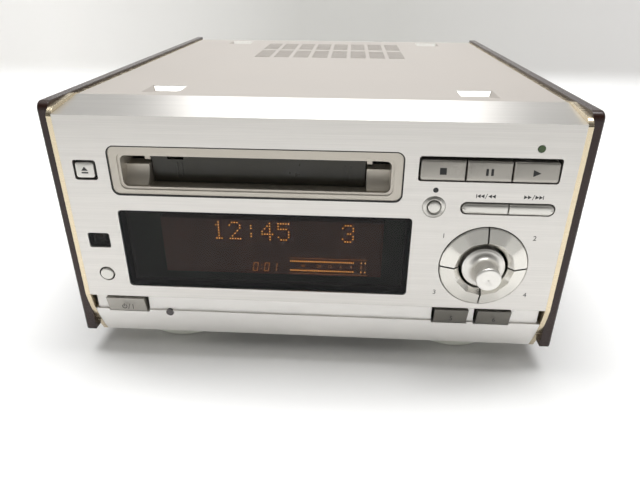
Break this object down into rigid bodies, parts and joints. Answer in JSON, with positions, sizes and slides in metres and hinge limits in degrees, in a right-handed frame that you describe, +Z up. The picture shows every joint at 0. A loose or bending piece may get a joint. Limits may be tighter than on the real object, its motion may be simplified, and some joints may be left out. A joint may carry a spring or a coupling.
{
  "type": "minidisc deck",
  "caption": "Front-loading minidisc deck: sprung slot flap, display window, transport and ring buttons, jog knob, cartridge loading mechanism, case on feet.",
  "frame": {"origin": "middle of the overall bounding box on the surface that the feet stand on", "axes": "+X to the right seen from the front, +Y from the front face to the rear, +Z up"},
  "size_m": [0.19, 0.2234, 0.1045],
  "materials": {
    "face_aluminium": "fine horizontal brushing, satin anodised",
    "fascia_satin": "satin, lightly blasted",
    "cover_beige": "smooth satin paint, warm light grey",
    "panel_dark": "satin, near-black brown",
    "trim_champagne": "polished champagne gold anodising",
    "bezel_champagne": "satin champagne-grey lacquer",
    "flap_olive": "semi-gloss dark olive grey",
    "window_black": "smoked, clear gloss",
    "tube_glass": "clear glass over dark anodes",
    "button_pewter": "satin pewter lacquer",
    "button_silver": "satin silver lacquer",
    "ring_dark": "satin dark grey",
    "ring_cream": "satin pale cream",
    "knob_silver": "satin turned face, fine knurl",
    "lamp_green": "clear green lens",
    "lamp_dark": "dark red lens",
    "frame_black": "moulded, fine grain",
    "board_green": "solder mask over glass fibre",
    "encoder_nylon": "moulded body",
    "gear_nylon": "natural acetal",
    "sheet_zinc": "zinc-plated sheet",
    "holder_aluminium": "plain sheet",
    "steel_bright": "ground steel",
    "transformer_iron": "varnished laminations and taped winding",
    "jack_metal": "plated shells in a dark block",
    "foot_grey": "moulded pale grey-green",
    "pad_rubber": "soft matt rubber"
  },
  "bodies": {
    "deck": {"base_chassis": "sheet_zinc", "display_tube": "tube_glass", "display_window": "window_black", "feet": "foot_grey", "flap_pin": "steel_bright", "flap_spring": "steel_bright", "foot_pads": "pad_rubber", "front_circuit_board": "board_green", "front_panel": "face_aluminium", "front_subframe": "frame_black", "guide_rods": "steel_bright", "ir_window": "window_black", "jog_encoder": "encoder_nylon", "line_jacks": "jack_metal", "loading_motor": "sheet_zinc", "lower_fascia": "fascia_satin", "main_circuit_board": "board_green", "mains_inlet": "frame_black", "mechanism_chassis": "sheet_zinc", "optical_sockets": "frame_black", "panel_screws": "steel_bright", "play_lamp": "lamp_green", "rear_panel": "sheet_zinc", "record_ring": "button_silver", "side_panel_left": "panel_dark", "side_panel_right": "panel_dark", "sled_motor": "sheet_zinc", "slot_bezel": "bezel_champagne", "spindle_motor": "sheet_zinc", "standby_lamp": "lamp_dark", "tact_switches": "frame_black", "top_cover": "cover_beige", "transformer": "transformer_iron", "trim_plate_left": "trim_champagne", "trim_plate_right": "trim_champagne"},
    "eject_button": {"eject_button": "button_silver"},
    "input_button": {"input_button": "button_silver"},
    "lower_button_left": {"lower_button_left": "button_silver"},
    "lower_button_right": {"lower_button_right": "button_silver"},
    "pause_button": {"pause_button": "button_pewter"},
    "play_button": {"play_button": "button_pewter"},
    "power_button": {"power_button": "button_silver"},
    "record_button": {"record_button": "button_silver"},
    "ring_button_bottom_left": {"ring_button_bottom_left": "ring_cream"},
    "ring_button_bottom_right": {"ring_button_bottom_right": "ring_cream"},
    "ring_button_top_left": {"ring_button_top_left": "ring_dark"},
    "ring_button_top_right": {"ring_button_top_right": "ring_dark"},
    "skip_back_button": {"skip_back_button": "button_pewter"},
    "skip_forward_button": {"skip_forward_button": "button_pewter"},
    "stop_button": {"stop_button": "button_pewter"},
    "slot_flap": {"slot_flap": "flap_olive"},
    "jog_plunger": {"jog_plunger": "steel_bright"},
    "jog_knob": {"jog_knob": "knob_silver"},
    "slide_plate": {"slide_plate": "sheet_zinc"},
    "loading_gear": {"loading_gear": "gear_nylon"},
    "motor_pinion": {"motor_pinion": "gear_nylon"},
    "cartridge_holder": {"cartridge_holder": "holder_aluminium"},
    "turntable": {"turntable": "steel_bright"},
    "pickup_sled": {"pickup_sled": "gear_nylon"},
    "lead_screw": {"lead_screw": "steel_bright"}
  },
  "joints": [
    {"name": "eject_button_press", "type": "slide", "parent": "deck", "child": "eject_button", "axis": [0, 1, 0], "range_m": [0, 0.0008], "stiffness_N_per_m": 500, "springref_m": -0.001},
    {"name": "input_button_press", "type": "slide", "parent": "deck", "child": "input_button", "axis": [0, 1, 0], "range_m": [0, 0.0008], "stiffness_N_per_m": 500, "springref_m": -0.001},
    {"name": "lower_button_left_press", "type": "slide", "parent": "deck", "child": "lower_button_left", "axis": [0, 1, 0], "range_m": [0, 0.0008], "stiffness_N_per_m": 500, "springref_m": -0.001},
    {"name": "lower_button_right_press", "type": "slide", "parent": "deck", "child": "lower_button_right", "axis": [0, 1, 0], "range_m": [0, 0.0008], "stiffness_N_per_m": 500, "springref_m": -0.001},
    {"name": "pause_button_press", "type": "slide", "parent": "deck", "child": "pause_button", "axis": [0, 1, 0], "range_m": [0, 0.0008], "stiffness_N_per_m": 500, "springref_m": -0.001},
    {"name": "play_button_press", "type": "slide", "parent": "deck", "child": "play_button", "axis": [0, 1, 0], "range_m": [0, 0.0008], "stiffness_N_per_m": 500, "springref_m": -0.001},
    {"name": "power_button_press", "type": "slide", "parent": "deck", "child": "power_button", "axis": [0, 1, 0], "range_m": [0, 0.0008], "stiffness_N_per_m": 500, "springref_m": -0.001},
    {"name": "record_button_press", "type": "slide", "parent": "deck", "child": "record_button", "axis": [0, 1, 0], "range_m": [0, 0.0008], "stiffness_N_per_m": 500, "springref_m": -0.001},
    {"name": "ring_button_bottom_left_press", "type": "slide", "parent": "deck", "child": "ring_button_bottom_left", "axis": [0, 1, 0], "range_m": [0, 0.0008], "stiffness_N_per_m": 500, "springref_m": -0.001},
    {"name": "ring_button_bottom_right_press", "type": "slide", "parent": "deck", "child": "ring_button_bottom_right", "axis": [0, 1, 0], "range_m": [0, 0.0008], "stiffness_N_per_m": 500, "springref_m": -0.001},
    {"name": "ring_button_top_left_press", "type": "slide", "parent": "deck", "child": "ring_button_top_left", "axis": [0, 1, 0], "range_m": [0, 0.0008], "stiffness_N_per_m": 500, "springref_m": -0.001},
    {"name": "ring_button_top_right_press", "type": "slide", "parent": "deck", "child": "ring_button_top_right", "axis": [0, 1, 0], "range_m": [0, 0.0008], "stiffness_N_per_m": 500, "springref_m": -0.001},
    {"name": "skip_back_button_press", "type": "slide", "parent": "deck", "child": "skip_back_button", "axis": [0, 1, 0], "range_m": [0, 0.0008], "stiffness_N_per_m": 500, "springref_m": -0.001},
    {"name": "skip_forward_button_press", "type": "slide", "parent": "deck", "child": "skip_forward_button", "axis": [0, 1, 0], "range_m": [0, 0.0008], "stiffness_N_per_m": 500, "springref_m": -0.001},
    {"name": "stop_button_press", "type": "slide", "parent": "deck", "child": "stop_button", "axis": [0, 1, 0], "range_m": [0, 0.0008], "stiffness_N_per_m": 500, "springref_m": -0.001},
    {"name": "flap_swing", "type": "hinge", "parent": "deck", "child": "slot_flap", "pos_m": [-0.0205, -0.09215, 0.085], "axis": [1, 0, 0], "range_deg": [0, 75], "stiffness_Nm_per_rad": 0.002, "springref_deg": -22.92},
    {"name": "jog_press", "type": "slide", "parent": "deck", "child": "jog_plunger", "axis": [0, 1, 0], "range_m": [0, 0.0008], "stiffness_N_per_m": 900, "springref_m": -0.001},
    {"name": "jog_turn", "type": "hinge", "parent": "jog_plunger", "child": "jog_knob", "pos_m": [0.0628, -0.10175, 0.0475], "axis": [0, 1, 0], "continuous": true},
    {"name": "slide_travel", "type": "slide", "parent": "deck", "child": "slide_plate", "axis": [0, 1, 0], "range_m": [0, 0.012]},
    {"name": "gear_turn", "type": "hinge", "parent": "deck", "child": "loading_gear", "pos_m": [0.0091, -0.06175, 0.059], "axis": [0, 0, 1], "range_deg": [0, 68.75]},
    {"name": "pinion_turn", "type": "hinge", "parent": "deck", "child": "motor_pinion", "pos_m": [-0.0059, -0.06175, 0.059], "axis": [0, 0, 1], "range_deg": [-137.51, 0]},
    {"name": "holder_drop", "type": "slide", "parent": "deck", "child": "cartridge_holder", "axis": [0, 0, -1], "range_m": [0, 0.005]},
    {"name": "disc_spin", "type": "hinge", "parent": "deck", "child": "turntable", "pos_m": [-0.0205, -0.04175, 0.07], "axis": [0, 0, 1], "continuous": true},
    {"name": "sled_travel", "type": "slide", "parent": "deck", "child": "pickup_sled", "axis": [0, 1, 0], "range_m": [0, 0.016]},
    {"name": "screw_turn", "type": "hinge", "parent": "deck", "child": "lead_screw", "pos_m": [0.004, -0.02175, 0.062], "axis": [0, 1, 0], "range_deg": [0, 2880]}
  ],
  "couplings": [
    {"joint": "gear_turn", "follows": "slide_travel", "rad_per_m": 100},
    {"joint": "pinion_turn", "follows": "slide_travel", "rad_per_m": -200},
    {"joint": "holder_drop", "follows": "slide_travel", "ratio": 0.41666},
    {"joint": "screw_turn", "follows": "sled_travel", "rad_per_m": 3141.6}
  ]
}
